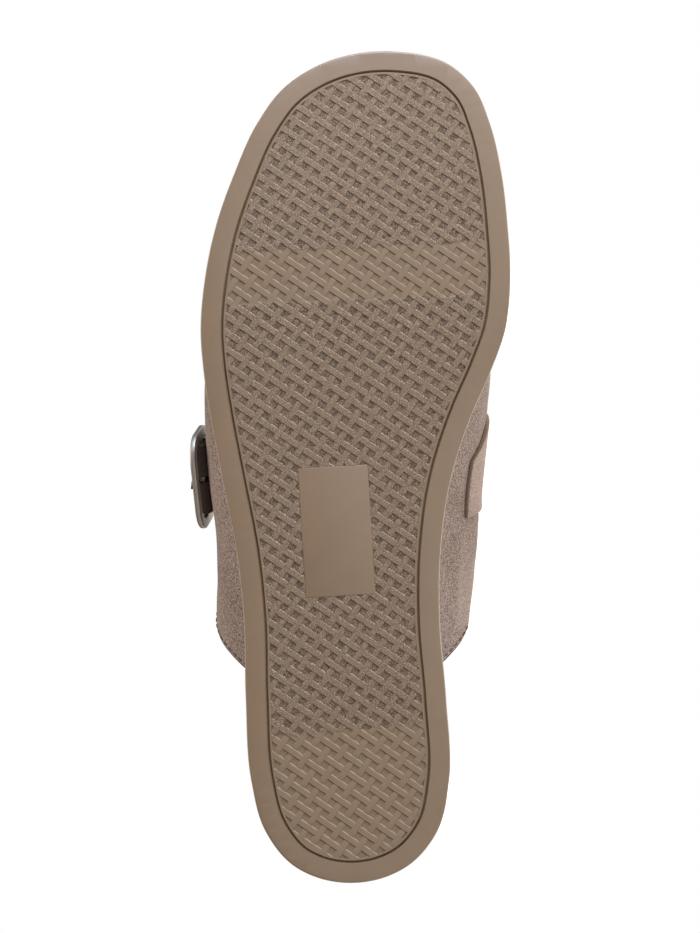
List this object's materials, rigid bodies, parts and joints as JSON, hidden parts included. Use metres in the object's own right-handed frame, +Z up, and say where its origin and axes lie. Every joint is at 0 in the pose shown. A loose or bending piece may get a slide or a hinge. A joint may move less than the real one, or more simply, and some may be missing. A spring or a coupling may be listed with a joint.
{
  "type": "clog mule",
  "caption": "Right-foot clog mule with a closed round toe, open heel, buckled instep strap and a flat moulded sole with a woven tread.",
  "frame": {"origin": "middle of the bounding box at floor level, with the shoe lying on its medial side", "axes": "+X towards the toe, +Y from the tread towards the top of the foot, +Z up, which is the lateral side with the buckle"},
  "size_m": [0.2616, 0.09, 0.0992],
  "materials": {
    "sole_rubber": "matt taupe moulded rubber",
    "footbed": "soft napped footbed cover",
    "suede": "napped mushroom suede",
    "strap_suede": "napped mushroom suede with raw cut edges",
    "pewter": "satin pewter plating"
  },
  "bodies": {
    "root": {"outsole": "sole_rubber", "insole": "footbed", "upper": "suede", "strap": "strap_suede", "buckle_frame": "pewter", "buckle_prong": "pewter"}
  },
  "joints": []
}
